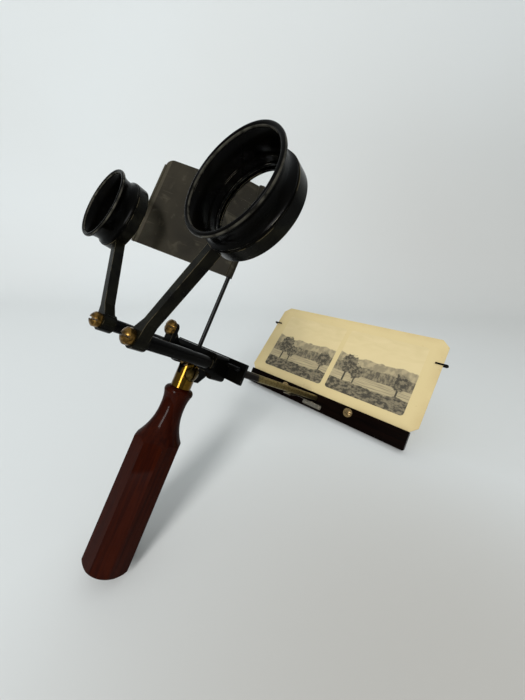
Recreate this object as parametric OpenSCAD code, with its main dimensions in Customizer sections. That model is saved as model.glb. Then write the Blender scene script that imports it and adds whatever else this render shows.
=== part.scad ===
// Stereoscope: a hand viewer for double-picture cards, with swinging lens arms,
// a turning septum, a folding octagonal handle and a card carrier that slides on a rail.
//
// Every piece is drawn in the bench frame: +X to the viewer's right, +Y along the rail
// from the eyes to the card, +Z square to the rail, origin on the front face of the
// crosshead block, level with the barrels. stand() then sets the viewer down on its
// handle end and card bar, as it rests on a table.

/* [Lens arms] */
// Distance between the two pivot barrels
arm_spread = 30; // [27:0.5:34]
// From the barrel's axis to the lens axis
arm_length = 59.5; // [54:0.5:66]
// Lean of each arm away from upright at rest, in degrees
arm_splay = 30.2; // [24:0.2:40]
// Width of the arm's straight part
arm_w = 3.6; // [2.6:0.1:5]
// Thickness of the arm along the viewing direction
arm_t = 4.4; // [3.4:0.1:4.8]
// Diameter of the hub at the foot of the arm
hub_d = 8.2; // [7.2:0.1:9.4]
// Length of the hub along its pivot
hub_l = 5.2; // [4.8:0.1:6.4]

/* [Lenses and eye cups] */
// Outside diameter of the ring that holds the lens
cell_d = 34.5; // [33:0.1:37]
// Thickness of that ring
cell_t = 4.6; // [4:0.1:5.4]
// Diameter of the lens
lens_d = 29.8; // [27:0.1:31]
// Thickness of the lens at its edge
lens_edge = 1.4; // [1.1:0.1:1.6]
// Height of the lens's front curve
lens_rise = 0.5; // [0.3:0.1:1]
// Outside diameter over the rolled rim of the eye cup
rim_d = 35.2; // [34:0.1:38]
// Outside diameter of the cup's waist
waist_d = 31.2; // [30.4:0.1:32]
// Depth of the eye cup in front of the lens ring
cup_depth = 8.7; // [8:0.1:12]
// Outside diameter of the cup's foot, against the lens ring
cup_foot_d = 33.9; // [33:0.1:34.4]
// Wall of the eye cup
cup_wall = 0.9; // [0.7:0.05:1.2]
// Diameter of the rolled bead round the rim
rim_bead = 1.7; // [1.4:0.1:2.2]

/* [Barrels and screws] */
// Diameter of each barrel
barrel_d = 5.8; // [5:0.1:6.6]
// Length of each barrel in front of the block
barrel_l = 34.05; // [28:0.05:40]
// Diameter of the arm screws' shanks
arm_screw_d = 3; // [2.4:0.1:3.4]
// Diameter of the arm screws' heads
arm_head_d = 6.5; // [5.6:0.1:7]
// Thickness of the washer under each head
washer_t = 0.5; // [0.4:0.05:0.8]

/* [Crosshead] */
// Width of the block that the barrels are seated in
block_w = 36; // [34:0.5:44]
// Length of the block along the rail
block_l = 10; // [9:0.1:13]
// Top of the block above the barrels' axes
block_top = 5.3; // [4.6:0.1:7]
// Bottom of the block below the barrels' axes
block_drop = 7.1; // [6.6:0.1:8]
// Width of the plate behind the block
plate_w = 56.8; // [44:0.2:70]
// Thickness of that plate
plate_t = 1.4; // [1:0.1:2.4]
// Top of the plate above the barrels' axes
plate_top = 5.8; // [5:0.1:8]
// Bottom of the plate below the barrels' axes
plate_drop = 4.6; // [4.2:0.1:6]

/* [Front lug] */
// Height of the lug's brass screw above the barrels' axes
lug_screw_z = 8.8; // [8:0.1:12]
// Reach of the lug in front of the block
lug_reach = 16.2; // [10:0.1:18]
// Width of the lug
lug_w = 5.4; // [4.8:0.1:7]
// Thickness of the lug's upright
lug_t = 2.2; // [1.8:0.1:3.4]

/* [Septum] */
// Width of the septum from its post to its free edge
septum_w = 56.7; // [40:0.1:58]
// Height of the septum
septum_h = 49.5; // [36:0.1:60]
// Top of the septum above the barrels' axes
septum_top = 93.7; // [84:0.1:100]
// Turn of the septum at rest, from pointing at the eyes, in degrees
septum_turn = 56.2; // [52:0.2:90]
// Thickness of the septum's sheet
septum_t = 0.6; // [0.4:0.05:1]
// Diameter of the septum's post
post_d = 2.2; // [1.6:0.1:2.4]
// Distance of the post behind the block's front face
post_y = 2.9; // [2.4:0.1:4]

/* [Rail] */
// Width of the rail
rail_w = 6.4; // [5:0.1:8]
// Height of the rail
rail_h = 4.8; // [4:0.1:5.2]
// Top of the rail above the barrels' axes
rail_top = 1.7; // [0.8:0.1:1.8]
// How far the rail runs on behind the card bar
rail_over = 10; // [7:0.5:20]

/* [Handle] */
// Width of the octagonal grip across its flats
grip_af = 21.6; // [19:0.1:26]
// Length of the wooden grip
grip_l = 90.8; // [76:0.1:110]
// Diameter of the bead at the top of the grip
collar_d = 14.4; // [13.4:0.1:16]
// Diameter of the neck under the bead
neck_d = 11.9; // [9.6:0.1:12.6]
// Depth below the bead's top where the neck starts to widen
cove_start = 11; // [8:0.1:14]
// Depth below the bead's top where the full width is reached
cove_end = 28; // [24:0.1:34]
// Rounding of the grip's end
grip_round = 2.6; // [2:0.1:3]
// Diameter of the brass ferrule
ferrule_d = 10.1; // [9.4:0.1:10.8]
// Distance of the handle's pivot below the barrels' axes
pivot_drop = 8.8; // [8.6:0.1:10]
// Distance of the handle's pivot behind the block's front face
pivot_y = 1.85; // [1.6:0.05:2.2]
// Length of ferrule that shows between the pivot and the grip
ferrule_show = 8.4; // [7.6:0.1:11]
// Thickness of the bracket's tongue
tongue_t = 2.6; // [2:0.1:3.2]

/* [Card carrier] */
// Distance from the plate to the front of the card bar
bar_run = 147.8; // [120:0.1:160]
// Width of the card bar
bar_w = 169; // [150:0.5:176]
// Thickness of the card bar
bar_t = 7.5; // [7:0.1:10]
// Top of the card bar above the barrels' axes
bar_top = 3.6; // [3.4:0.1:5]
// Bottom of the card bar below the barrels' axes
bar_drop = 12.1; // [11.6:0.1:18]
// Diameter of the clip wire
wire_d = 1.5; // [1.2:0.1:1.8]
// Distance of each clip's foot from the middle of the bar
clip_x = 35; // [25:0.5:50]
// Height of the clips' hooks above the card's foot
hook_z = 66; // [50:0.5:76]
// How far the hooks reach over the card's face
hook_reach = 6; // [4:0.5:9]

/* [Card] */
// Width of the stereo card
card_w = 178; // [176.5:0.5:184]
// Height of the stereo card
card_h = 90; // [85:0.5:112]
// Thickness of the stereo card
card_t = 1.2; // [0.8:0.1:1.6]
// Lean of the card away from the eyes, in degrees
card_lean = 14.3; // [8:0.1:18]
// Size of the card's cut corners
card_corner = 6.5; // [3:0.5:10]

/* [Hidden] */
$fn = 72;
running_gap = 0.05;
free_gap = 0.3;
pass = 1;
weld = 0.16;

// Lens arms, along the viewing direction
hub_back = -(barrel_l + running_gap);
hub_front = hub_back - hub_l;
arm_back = hub_front + arm_t;
cell_front = arm_back - cell_t;
head_back = hub_front - running_gap - washer_t;
arm_head_h = 3.4;
washer_set = 0.2;

// Lens, its ring and the eye cup
cell_bore_d = lens_d + 2 * running_gap;
lip_t = 0.8;
lip_w = 1.6;
lip_front = arm_back - lip_t;
lens_front = lip_front - lens_edge;
lens_back_rise = 0.5;
ring_t = 0.8;
ring_w = 1.3;
spigot_w = 0.9;
spigot_l = cell_t - lip_t - lens_edge - ring_t - free_gap;
cup_foot = 0.8;
cup_front = cell_front - cup_depth;
rim_y = cup_front + rim_bead / 2;
waist_set = 3.2;
waist_y = cell_front - waist_set;
swell_h = (cup_foot_d - waist_d) / 2;
swell_l = cell_front - cup_foot - waist_y;
swell_r = (pow(swell_l, 2) + pow(swell_h, 2)) / (2 * swell_h);
flare_h = (rim_d - rim_bead) / 2 - (waist_d - cup_wall) / 2;
flare_l = waist_y - rim_y;
flare_r = (pow(flare_l, 2) + pow(flare_h, 2)) / (2 * flare_h);

// Crosshead
block_round = 2;
block_chamfer = 2.5;
arch_half = 14;
arch_z = -4.4;
plate_back = block_l + plate_t;
spigot_d = barrel_d - 1.8;
barrel_seat = 3.6;
barrel_collar = 0.4;
tenon_l = 4;
rail_z = rail_top - rail_h / 2;
rail_bevel = 1.1;
rail_edge = 0.6;
rail_pin_d = 2.2;
rail_pin_out = 8;
rail_pin_y = block_l - tenon_l / 2;
rail_pin_z = 2.3;
tenon_side = 0.6;
tenon_w = rail_w - 2 * tenon_side;
tenon_set = 0.4;
tenon_cover = 0.9;
tenon_top = block_top - tenon_cover;
plate_screw_x = 11;
plate_screw_z = -1.6;
plate_screw_d = 2;
plate_screw_l = 4;
post_foot = 1;
lug_foot = 0.9;
lug_web = 2.2;
lug_screw_d = 2.2;
lug_head_d = 7;
lug_strap = 2.8;

// Handle
pivot_z = -pivot_drop;
pivot_d = 3;
pivot_head_d = 7.2;
pivot_head_h = 2.6;
knuckle_r = 4.4;
fork_room = 0.55;
fork_half = ferrule_d / 2 + 2.5;
spot_x = sqrt(pow(ferrule_d / 2, 2) - pow(pivot_head_d / 2, 2));
tongue_edge = 0.2;
tongue_low = pivot_z - knuckle_r - tongue_edge;
web_y = 10.4;
web_end = 14;
web_slope = 4.5;
neck_room = 1.4;
neck_lead = 1;
neck_set = 0.4;
neck_cover = 0.6;
rail_gap = 0.1;
collar_z = pivot_z - ferrule_show;
ferrule_seat = 4;
tang_d = 5.2;
tang_l = 24;
grip_bead = 2.4;
bead_edge = 1.5 * grip_bead;
bead_r = collar_d / 2 - grip_bead + sqrt(pow(grip_bead, 2) - pow(bead_edge - grip_bead, 2));
neck_run = 1.5;
waist_at = cove_start - neck_run;
waist_rise = bead_r - neck_d / 2;
waist_r = (pow(waist_at - bead_edge, 2) + pow(waist_rise, 2)) / (2 * waist_rise);
grip_r = grip_af / 2 / cos(22.5) + 0.06;
cove_rise = grip_r - neck_d / 2;
cove_r = (pow(cove_end - cove_start, 2) + pow(cove_rise, 2)) / (2 * cove_rise);
grip_end = collar_z - grip_l;

// Septum
septum_low = septum_top - septum_h;
hem_d = 1.6;
knuckle_d = post_d + 1.4;
septum_round = 4;
septum_edge = septum_w - hem_d / 2;

// Card carrier
bar_front = plate_back + bar_run;
bar_back = bar_front + bar_t;
bar_round = 1.2;
groove_depth = 1.3;
card_set = 3.4;
card_y = bar_front + card_set;
card_z = bar_top - groove_depth;
groove_gap = 0.2;
wire_y = card_t / 2 + free_gap + wire_d / 2;
hook_x = card_w / 2 + wire_y + wire_d / 2 + 0.8;
hook_slack = 0.65;
hook_bend = wire_y - hook_slack;
clip_seat = 9;
clip_lift = 4;
clip_bend = 5;
bar_screw_d = 3;
bar_head_d = 8;
bar_head_h = 2.6;
bar_screw_z = -1.6;
rail_stop_d = 4.4;
rail_stop_h = 1.3;
rail_stop_shank = 1.8;
rail_stop_y = bar_back + rail_stop_d / 2 + running_gap;
rail_end = bar_back + rail_over;
spring_t = 0.6;
spring_w = 6;
spring_foot_w = 20;
spring_foot_h = 4;
spring_reach = 40;
spring_tip = 14;
spring_sag = 3;
spring_screw_x = 7;
spring_screw_d = 1.6;
spring_head_d = 3;

// The rest pose: the viewer stands on the rounded end of its grip and the back edge of
// its bar, and its origin is the middle of its box, on the table.
foot_y = pivot_y + grip_r - grip_round;
foot_z = grip_end + grip_round;
rise = -bar_drop - foot_z;
run = bar_back - foot_y;
tilt = atan2(rise, run) + asin(grip_round / norm([rise, run]));
floor_z = -bar_back * sin(tilt) - bar_drop * cos(tilt);
heel_z = foot_z - sqrt(pow(grip_round, 2) - pow(grip_af / 2 - grip_r + grip_round, 2));
back_y = (pivot_y - grip_af / 2) * cos(tilt) + heel_z * sin(tilt);
card_top_y = card_y + card_h * sin(card_lean) + card_t / 2 * cos(card_lean);
card_top_z = card_z + card_h * cos(card_lean) - card_t / 2 * sin(card_lean);
front_y = card_top_y * cos(tilt) + card_top_z * sin(tilt);

// Sets the viewer down on the table, with its box centred on the origin.
module stand() {
    translate([0, -(back_y + front_y) / 2, -floor_z]) rotate([-tilt, 0, 0]) children();
}

// Local Z runs up the arm from its pivot, local Y stays along the viewing direction.
module on_arm(side) {
    translate([side * arm_spread / 2, 0, 0]) rotate([0, side * arm_splay, 0]) children();
}

// Turns a profile of radius and distance along Y about the lens axis of one arm.
module turned_on_lens_axis(side) {
    on_arm(side) translate([0, 0, arm_length]) turned_y() children();
}

// Local X and Z lie in the card's face, with Z up the card from its foot.
module on_card() {
    translate([0, card_y, card_z]) rotate([-card_lean, 0, 0]) children();
}

module rod_x(d, x0, x1) {
    translate([x0, 0, 0]) rotate([0, 90, 0]) cylinder(d = d, h = x1 - x0);
}

module rod_y(d, y0, y1) {
    translate([0, y0, 0]) rotate([-90, 0, 0]) cylinder(d = d, h = y1 - y0);
}

module turned_y() {
    rotate([-90, 0, 0]) rotate_extrude() children();
}

// Extrudes a profile of Y and Z across X, centred.
module across_x(width) {
    rotate([90, 0, 90]) linear_extrude(width, center = true) children();
}

// Extrudes a profile of X and Z along Y.
module along_y(y0, y1) {
    translate([0, y1, 0]) rotate([90, 0, 0]) linear_extrude(y1 - y0) children();
}

// A rectangle between two corners with round corners of radius r.
module round_box(low, high, r) {
    size = high - low;
    translate(low + [r, 0]) square(size - [2 * r, 0]);
    translate(low + [0, r]) square(size - [0, 2 * r]);
    for (x = [low.x + r, high.x - r], y = [low.y + r, high.y - r]) translate([x, y]) circle(r);
}

// A strip of sheet bent along a list of points.
module bent_strip(points, t) {
    for (i = [0 : len(points) - 2]) {
        leg = points[i + 1] - points[i];
        translate(points[i]) rotate(atan2(leg.y, leg.x)) translate([0, -t / 2]) square([norm(leg), t]);
    }
    for (p = points) translate(p) circle(d = t);
}

// A slotted screw along Z: the domed head sits above the origin, the shank below it.
module slotted_screw(head_d, head_h, shank_d, shank_l) {
    edge = head_h / 2;
    dome_h = head_h - edge;
    dome_r = (pow(head_d / 2, 2) + pow(dome_h, 2)) / (2 * dome_h);
    difference() {
        union() {
            cylinder(d = head_d, h = edge);
            rotate_extrude() intersection() {
                translate([0, head_h - dome_r]) circle(dome_r);
                translate([0, edge]) square([head_d / 2, dome_h]);
            }
        }
        translate([-head_d, -head_d / 14, head_h * 0.45]) cube([2 * head_d, head_d / 7, head_h]);
    }
    translate([0, 0, -shank_l]) cylinder(d = shank_d, h = shank_l);
}

function unit(v) = v / norm(v);

// Round wire along a list of points, with a true bend of its own radius at each inner one
// and a small brazed joint where each bend meets a straight.
module bent_wire(points, bends, d) {
    last = len(points) - 1;
    legs = [for (i = [0 : last - 1]) unit(points[i + 1] - points[i])];
    turns = [for (i = [1 : last - 1]) acos(legs[i - 1] * legs[i])];
    cuts = [0, each [for (i = [0 : last - 2]) bends[i] * tan(turns[i] / 2)], 0];
    for (i = [0 : last - 1]) {
        from = points[i] + legs[i] * (cuts[i] + (i > 0 ? weld : 0));
        to = points[i + 1] - legs[i] * (cuts[i + 1] + (i < last - 1 ? weld : 0));
        translate(from) rotate([0, acos(legs[i].z), atan2(legs[i].y, legs[i].x)])
            cylinder(d = d, h = norm(to - from), $fn = 24);
    }
    for (i = [1 : last - 1], end = [-legs[i - 1], legs[i]])
        translate(points[i] + end * cuts[i]) sphere(d = d + weld, $fn = 24);
    for (i = [1 : last - 1]) {
        side = unit(legs[i] - (legs[i] * legs[i - 1]) * legs[i - 1]);
        centre = points[i] - legs[i - 1] * cuts[i] + side * bends[i - 1];
        axis = cross(-side, legs[i - 1]);
        multmatrix([
            [-side.x, legs[i - 1].x, axis.x, centre.x],
            [-side.y, legs[i - 1].y, axis.y, centre.y],
            [-side.z, legs[i - 1].z, axis.z, centre.z],
            [0, 0, 0, 1]
        ]) rotate_extrude(angle = turns[i - 1]) translate([bends[i - 1], 0]) circle(d = d, $fn = 24);
    }
}

// Section of the rail: broad bevels above, narrow ones below.
module rail_section(grow) {
    half = rail_w / 2 + grow;
    low = rail_top - rail_h - grow;
    high = rail_top + grow;
    top_cut = rail_bevel + grow * (2 - sqrt(2));
    low_cut = rail_edge + grow * (2 - sqrt(2));
    polygon([
        [low_cut - half, low], [half - low_cut, low], [half, low + low_cut], [half, high - top_cut],
        [half - top_cut, high], [top_cut - half, high], [-half, high - top_cut], [-half, low + low_cut]
    ]);
}

// Raised head of the rail's tenon, which the cross pin runs through.
module tenon_head(grow) {
    front = block_l - tenon_l + tenon_set - grow;
    translate([-tenon_w / 2 - grow, front, rail_z])
        cube([tenon_w + 2 * grow, block_l - running_gap + 2 * grow - front, tenon_top + grow - rail_z]);
}

// Holds the barrels, the rail's end and the septum's post; arched below between two feet,
// with a hollow for the fork.
module crosshead_block() {
    fork_r = ferrule_d / 2 + fork_room;
    color("#15130f") difference() {
        along_y(0, block_l) round_box([-block_w / 2, -block_drop], [block_w / 2, block_top], block_round);
        for (side = [-1, 1]) translate([side * arm_spread / 2, 0, 0])
            rod_y(spigot_d + 2 * running_gap, -pass, barrel_seat + running_gap);
        translate([0, pivot_y, pivot_z]) rod_x(2 * fork_r, -fork_half, fork_half);
        translate([-fork_half, -pass, -block_drop - pass])
            cube([2 * fork_half, pivot_y + pass, pivot_z + fork_r + block_drop + pass]);
        translate([-arch_half, -pass, -block_drop - pass])
            cube([2 * arch_half, block_l + 2 * pass, arch_z + block_drop + pass]);
        across_x(block_w + pass) polygon([
            [-pass, block_chamfer + pass - block_drop], [-pass, -block_drop - pass],
            [block_chamfer + pass, -block_drop - pass]
        ]);
        handle_bracket_slot();
        along_y(block_l - tenon_l - running_gap, block_l + pass) rail_section(running_gap);
        tenon_head(running_gap);
        translate([0, post_y, post_foot - running_gap])
            cylinder(d = post_d + 2 * running_gap, h = block_top + pass);
        translate([0, rail_pin_y, rail_pin_z]) rod_x(rail_pin_d + 2 * running_gap, -block_w, block_w);
        for (side = [-1, 1]) translate([side * plate_screw_x, 0, plate_screw_z])
            rod_y(plate_screw_d + 2 * running_gap, block_l - plate_screw_l - running_gap, block_l + pass);
    }
}

// Thin plate across the back of the block, pierced for the rail and the bracket's web.
module back_plate() {
    color("#1a1712") difference() {
        along_y(block_l, plate_back)
            round_box([-plate_w / 2, -plate_drop], [plate_w / 2, plate_top], block_round / 4);
        along_y(block_l - pass, plate_back + pass) rail_section(running_gap);
        handle_bracket_slot();
        for (side = [-1, 1]) translate([side * plate_screw_x, 0, plate_screw_z])
            rod_y(plate_screw_d + 2 * running_gap, block_l - pass, plate_back + pass);
    }
}

module plate_screw(side) {
    color("#8a6a2f") translate([side * plate_screw_x, plate_back, plate_screw_z]) rotate([-90, 0, 0])
        slotted_screw(2 * plate_screw_d, plate_screw_d * 0.7, plate_screw_d, plate_t + plate_screw_l);
}

// Cross pin that holds the rail's end in the block, with round ends left proud.
module rail_pin() {
    reach = block_w / 2 + rail_pin_out;
    color("#15130f") translate([0, rail_pin_y, rail_pin_z]) {
        rod_x(rail_pin_d, -reach, reach);
        for (x = [-reach, reach]) translate([x, 0, 0]) sphere(d = rail_pin_d);
    }
}

module barrel(side) {
    color("#1b1814") translate([side * arm_spread / 2, 0, 0]) difference() {
        union() {
            rod_y(barrel_d, -barrel_l, 0);
            rod_y(barrel_d + 2 * barrel_collar, -3 * barrel_collar, 0);
            rod_y(spigot_d, 0, barrel_seat);
        }
        rod_y(arm_screw_d + 2 * running_gap, -barrel_l - pass, -barrel_l / 2);
    }
}

// Brass screw that each arm swings on, fixed in the barrel's end.
module arm_screw(side) {
    color("#9a7430") translate([side * arm_spread / 2, head_back, 0]) rotate([90, 0, 0])
        slotted_screw(arm_head_d, arm_head_h, arm_screw_d, barrel_l / 2 - hub_l);
}

module arm_washer(side) {
    color("#6d5a35") translate([side * arm_spread / 2, 0, 0]) difference() {
        rod_y(arm_head_d - 2 * washer_set, head_back, head_back + washer_t);
        rod_y(arm_screw_d + 2 * running_gap, head_back - pass, head_back + washer_t + pass);
    }
}

// Upright lug in front of the block, on a strap with a web behind it.
module front_lug() {
    back = -lug_reach + lug_t;
    color("#171410") difference() {
        union() {
            along_y(-lug_reach, back) {
                translate([0, lug_screw_z]) circle(d = lug_w);
                translate([-lug_w / 2, -lug_foot]) square([lug_w, lug_screw_z + lug_foot]);
            }
            translate([-lug_w / 2, -lug_reach, -lug_foot]) cube([lug_w, lug_reach, lug_strap]);
            across_x(lug_web) polygon([
                [back - lug_t / 2, 0], [back - lug_t / 2, lug_screw_z],
                [back, lug_screw_z], [back / 2, 0]
            ]);
        }
        translate([0, 0, lug_screw_z]) rod_y(lug_screw_d + 2 * running_gap, -lug_reach - pass, back + pass);
    }
}

module lug_screw() {
    color("#b08a34") translate([0, -lug_reach, lug_screw_z]) rotate([90, 0, 0])
        slotted_screw(lug_head_d, lug_head_d * 0.4, lug_screw_d, lug_t);
}

// Outline of the bracket: a round knuckle, a neck up into the block and a web back along
// the rail. The web's flat foot is the stop that the fork's slot closes against.
module bracket_outline(grow) {
    under_rail = rail_top - rail_h - rail_gap + grow;
    neck_front = pivot_y - neck_lead;
    neck_back = block_l - tenon_l - 2 * running_gap - neck_set + grow;
    translate([pivot_y, pivot_z]) circle(knuckle_r);
    translate([pivot_y - grow, tongue_low + tongue_edge]) polygon([
        [0, 0], [web_y - pivot_y, 0], [web_end - pivot_y + grow, web_slope],
        [web_end - pivot_y + grow, under_rail - tongue_low - tongue_edge],
        [0, under_rail - tongue_low - tongue_edge]
    ]);
    translate([neck_front - grow, pivot_z]) square([neck_back - neck_front, -pivot_z - neck_cover + grow]);
}

module handle_bracket() {
    color("#14120f") difference() {
        across_x(tongue_t) bracket_outline(0);
        translate([0, pivot_y, pivot_z]) rod_x(pivot_d + 2 * running_gap, -tongue_t, tongue_t);
    }
}

module handle_bracket_slot() {
    across_x(tongue_t + 2 * running_gap) bracket_outline(running_gap);
}

// Square brass rail, from its tenon in the block to a stop screw behind the card bar.
module rail() {
    color("#7d7448") difference() {
        union() {
            along_y(block_l - tenon_l, rail_end) rail_section(0);
            tenon_head(0);
        }
        translate([0, rail_pin_y, rail_pin_z]) rod_x(rail_pin_d + 2 * running_gap, -rail_w, rail_w);
        translate([0, rail_stop_y, rail_z - running_gap])
            cylinder(d = rail_stop_shank + 2 * running_gap, h = rail_h);
    }
}

module rail_stop_screw() {
    color("#9a7430") translate([0, rail_stop_y, rail_top])
        slotted_screw(rail_stop_d, rail_stop_h, rail_stop_shank, rail_top - rail_z);
}

// Swinging arm: a hub on the barrel's screw, a straight bar and the ring that holds the lens.
module lens_arm(side) {
    color("#16140f") on_arm(side) difference() {
        union() {
            rod_y(hub_d, hub_front, hub_back);
            along_y(hub_front, arm_back) polygon([
                [-hub_d / 2, 0], [hub_d / 2, 0], [arm_w / 2, hub_d], [arm_w / 2, arm_length],
                [-arm_w / 2, arm_length], [-arm_w / 2, hub_d]
            ]);
            translate([0, 0, arm_length]) rod_y(cell_d, cell_front, arm_back);
        }
        rod_y(arm_screw_d + 2 * running_gap, hub_front - pass, hub_back + pass);
        translate([0, 0, arm_length]) {
            rod_y(cell_bore_d, cell_front - pass, lip_front);
            rod_y(cup_foot_d + 2 * free_gap, cell_front - 2 * pass, cell_front);
            rod_y(lens_d - 2 * lip_w, lip_front - pass, arm_back + pass);
        }
    }
}

// One curved face of a lens: a cap of the given radius and height standing on y = 0.
module lens_cap(r, h) {
    ball = (r * r + h * h) / (2 * h);
    intersection() {
        translate([0, h - ball]) circle(ball, $fn = 360);
        square([r, h]);
    }
}

module lens(side) {
    cap_r = lens_d / 2 - lip_w - free_gap;
    color("#dfe8ea", 0.5) turned_on_lens_axis(side) {
        translate([0, lens_front]) square([lens_d / 2, lens_edge]);
        translate([0, lip_front]) lens_cap(cap_r, lens_back_rise);
        translate([0, lens_front]) mirror([0, 1]) lens_cap(cap_r, lens_rise);
    }
}

module lens_ring(side) {
    color("#6f5a2c") turned_on_lens_axis(side)
        translate([lens_d / 2 - ring_w, lens_front - ring_t]) square([ring_w, ring_t]);
}

// Waisted eye cup with a rolled rim, seated in the front of the lens ring by a spigot.
module eye_cup(side) {
    mid_r = (waist_d - cup_wall) / 2;
    color("#1d1a16") turned_on_lens_axis(side) {
        translate([lens_d / 2 - spigot_w, cell_front]) square([spigot_w, spigot_l]);
        translate([lens_d / 2 - spigot_w, cell_front - cup_foot])
            square([cup_foot_d / 2 - lens_d / 2 + spigot_w, cup_foot]);
        difference() {
            translate([waist_d / 2 - cup_wall, waist_y]) square([swell_h + cup_wall, swell_l + cup_foot / 2]);
            translate([waist_d / 2 + swell_r, waist_y]) circle(swell_r, $fn = 360);
        }
        intersection() {
            translate([mid_r + flare_r, waist_y]) difference() {
                circle(flare_r + cup_wall / 2, $fn = 360);
                circle(flare_r - cup_wall / 2, $fn = 360);
            }
            translate([0, rim_y]) square([mid_r + flare_r, flare_l]);
        }
        translate([(rim_d - rim_bead) / 2, rim_y]) circle(d = rim_bead);
    }
}

module septum_post() {
    color("#2a2822") translate([0, post_y, post_foot]) {
        cylinder(d = post_d, h = septum_top - post_foot);
        translate([0, 0, septum_top - post_foot]) sphere(d = post_d);
    }
}

// Thin leaf with a rolled knuckle on the post and a hemmed free edge.
module septum_plate() {
    color("#3a3630") translate([0, post_y, septum_low]) rotate([0, 0, 270 - septum_turn]) difference() {
        union() {
            cylinder(d = knuckle_d, h = septum_h);
            along_y(-septum_t / 2, septum_t / 2) {
                square([septum_edge - septum_round, septum_h]);
                square([septum_edge, septum_h - septum_round]);
                translate([septum_edge - septum_round, septum_h - septum_round]) circle(septum_round);
            }
            translate([septum_edge, 0, 0]) cylinder(d = hem_d, h = septum_h - septum_round);
        }
        translate([0, 0, -pass]) cylinder(d = post_d + 2 * running_gap, h = septum_h + 2 * pass);
    }
}

// Forked brass ferrule, round over the pivot and closed in front, with a tang in the wood.
module handle_ferrule() {
    color("#c79a2e") translate([0, pivot_y, 0]) difference() {
        union() {
            intersection() {
                translate([0, 0, collar_z]) cylinder(d = ferrule_d, h = ferrule_show + ferrule_d);
                union() {
                    translate([0, 0, pivot_z]) rod_x(ferrule_d, -ferrule_d, ferrule_d);
                    translate([-ferrule_d, -ferrule_d, collar_z])
                        cube([2 * ferrule_d, 2 * ferrule_d, ferrule_show]);
                }
            }
            translate([0, 0, collar_z - ferrule_seat]) cylinder(d = ferrule_d, h = ferrule_seat);
            translate([0, 0, collar_z - ferrule_seat - tang_l]) cylinder(d = tang_d, h = tang_l);
        }
        across_x(tongue_t + 2 * running_gap) {
            translate([0, pivot_z]) circle(knuckle_r + running_gap);
            translate([-ferrule_d, pivot_z - neck_room]) square(2 * ferrule_d);
            translate([0, tongue_low + tongue_edge / 2]) square([ferrule_d, 2 * ferrule_d]);
        }
        translate([0, 0, pivot_z]) {
            rod_x(pivot_d + 2 * running_gap, -ferrule_d, ferrule_d);
            rod_x(pivot_head_d + 2 * free_gap, spot_x, ferrule_d);
        }
    }
}

// Half of the grip's turned outline: radius across, height up.
module grip_outline() {
    difference() {
        union() {
            translate([0, -bead_edge]) square([collar_d / 2 - grip_bead, bead_edge]);
            translate([collar_d / 2 - grip_bead, -grip_bead]) circle(grip_bead);
            difference() {
                translate([0, -waist_at]) square([collar_d / 2, waist_at - bead_edge + weld]);
                translate([neck_d / 2 + waist_r, -waist_at]) circle(waist_r, $fn = 360);
            }
            translate([0, -cove_start - pass]) square([neck_d / 2, cove_start]);
            translate([0, -grip_l + grip_round]) square([grip_r, grip_l - grip_round - cove_start]);
            translate([0, -grip_l]) square([grip_r - grip_round, grip_round + pass]);
            translate([grip_r - grip_round, -grip_l + grip_round]) circle(grip_round);
        }
        intersection() {
            translate([neck_d / 2 + cove_r, -cove_start]) circle(cove_r, $fn = 360);
            translate([0, -cove_end]) square([2 * grip_r, cove_end - cove_start]);
        }
    }
}

// Turned bead, neck and cove running into eight flats with a rounded end.
module handle_grip() {
    color("#5a2414") translate([0, pivot_y, collar_z]) difference() {
        intersection() {
            rotate_extrude() grip_outline();
            translate([0, 0, -grip_l]) rotate([0, 0, 22.5])
                cylinder(d = grip_af / cos(22.5), h = grip_l, $fn = 8);
        }
        translate([0, 0, -ferrule_seat - running_gap])
            cylinder(d = ferrule_d + 2 * running_gap, h = ferrule_seat + pass);
        translate([0, 0, -ferrule_seat - tang_l - 2 * running_gap])
            cylinder(d = tang_d + 2 * running_gap, h = tang_l + pass);
    }
}

module pivot_screw() {
    color("#a87c2a") translate([spot_x, pivot_y, pivot_z]) rotate([0, 90, 0])
        slotted_screw(pivot_head_d, pivot_head_h, pivot_d, 2 * spot_x);
}

// Dark wooden bar with a leaning groove for the card and a mortise that runs on the rail.
module card_bar() {
    color("#1f0f0c") difference() {
        along_y(bar_front, bar_back) round_box([-bar_w / 2, -bar_drop], [bar_w / 2, bar_top], bar_round);
        along_y(bar_front - pass, bar_back + pass) rail_section(running_gap);
        on_card() translate([-bar_w, -card_t / 2 - groove_gap, -running_gap])
            cube([2 * bar_w, card_t + 2 * groove_gap, 4 * groove_depth]);
        on_card() for (side = [-1, 1]) translate([side * clip_x, wire_y, -clip_seat - running_gap])
            cylinder(d = wire_d + 2 * running_gap, h = clip_seat + 4 * groove_depth);
        for (side = [-1, 1]) translate([0, bar_front, 0]) {
            translate([side * clip_x, 0, bar_screw_z])
                rod_y(bar_screw_d + 2 * running_gap, -pass, bar_screw_l() + running_gap);
            translate([side * spring_screw_x, 0, spring_screw_z()])
                rod_y(spring_screw_d + 2 * running_gap, -pass, bar_t / 2 + running_gap);
        }
    }
}

// The bar screws stop short of the clip wires that they pinch.
function bar_screw_l() = card_y - bar_front + wire_y + (bar_screw_z - card_z) * tan(card_lean) - wire_d - 0.2;

function spring_screw_z() = rail_top - rail_h - spring_sag - spring_foot_h / 2;

module bar_screw(side) {
    color("#a9822f") translate([side * clip_x, bar_front, bar_screw_z]) rotate([90, 0, 0])
        slotted_screw(bar_head_d, bar_head_h, bar_screw_d, bar_screw_l());
}

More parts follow.
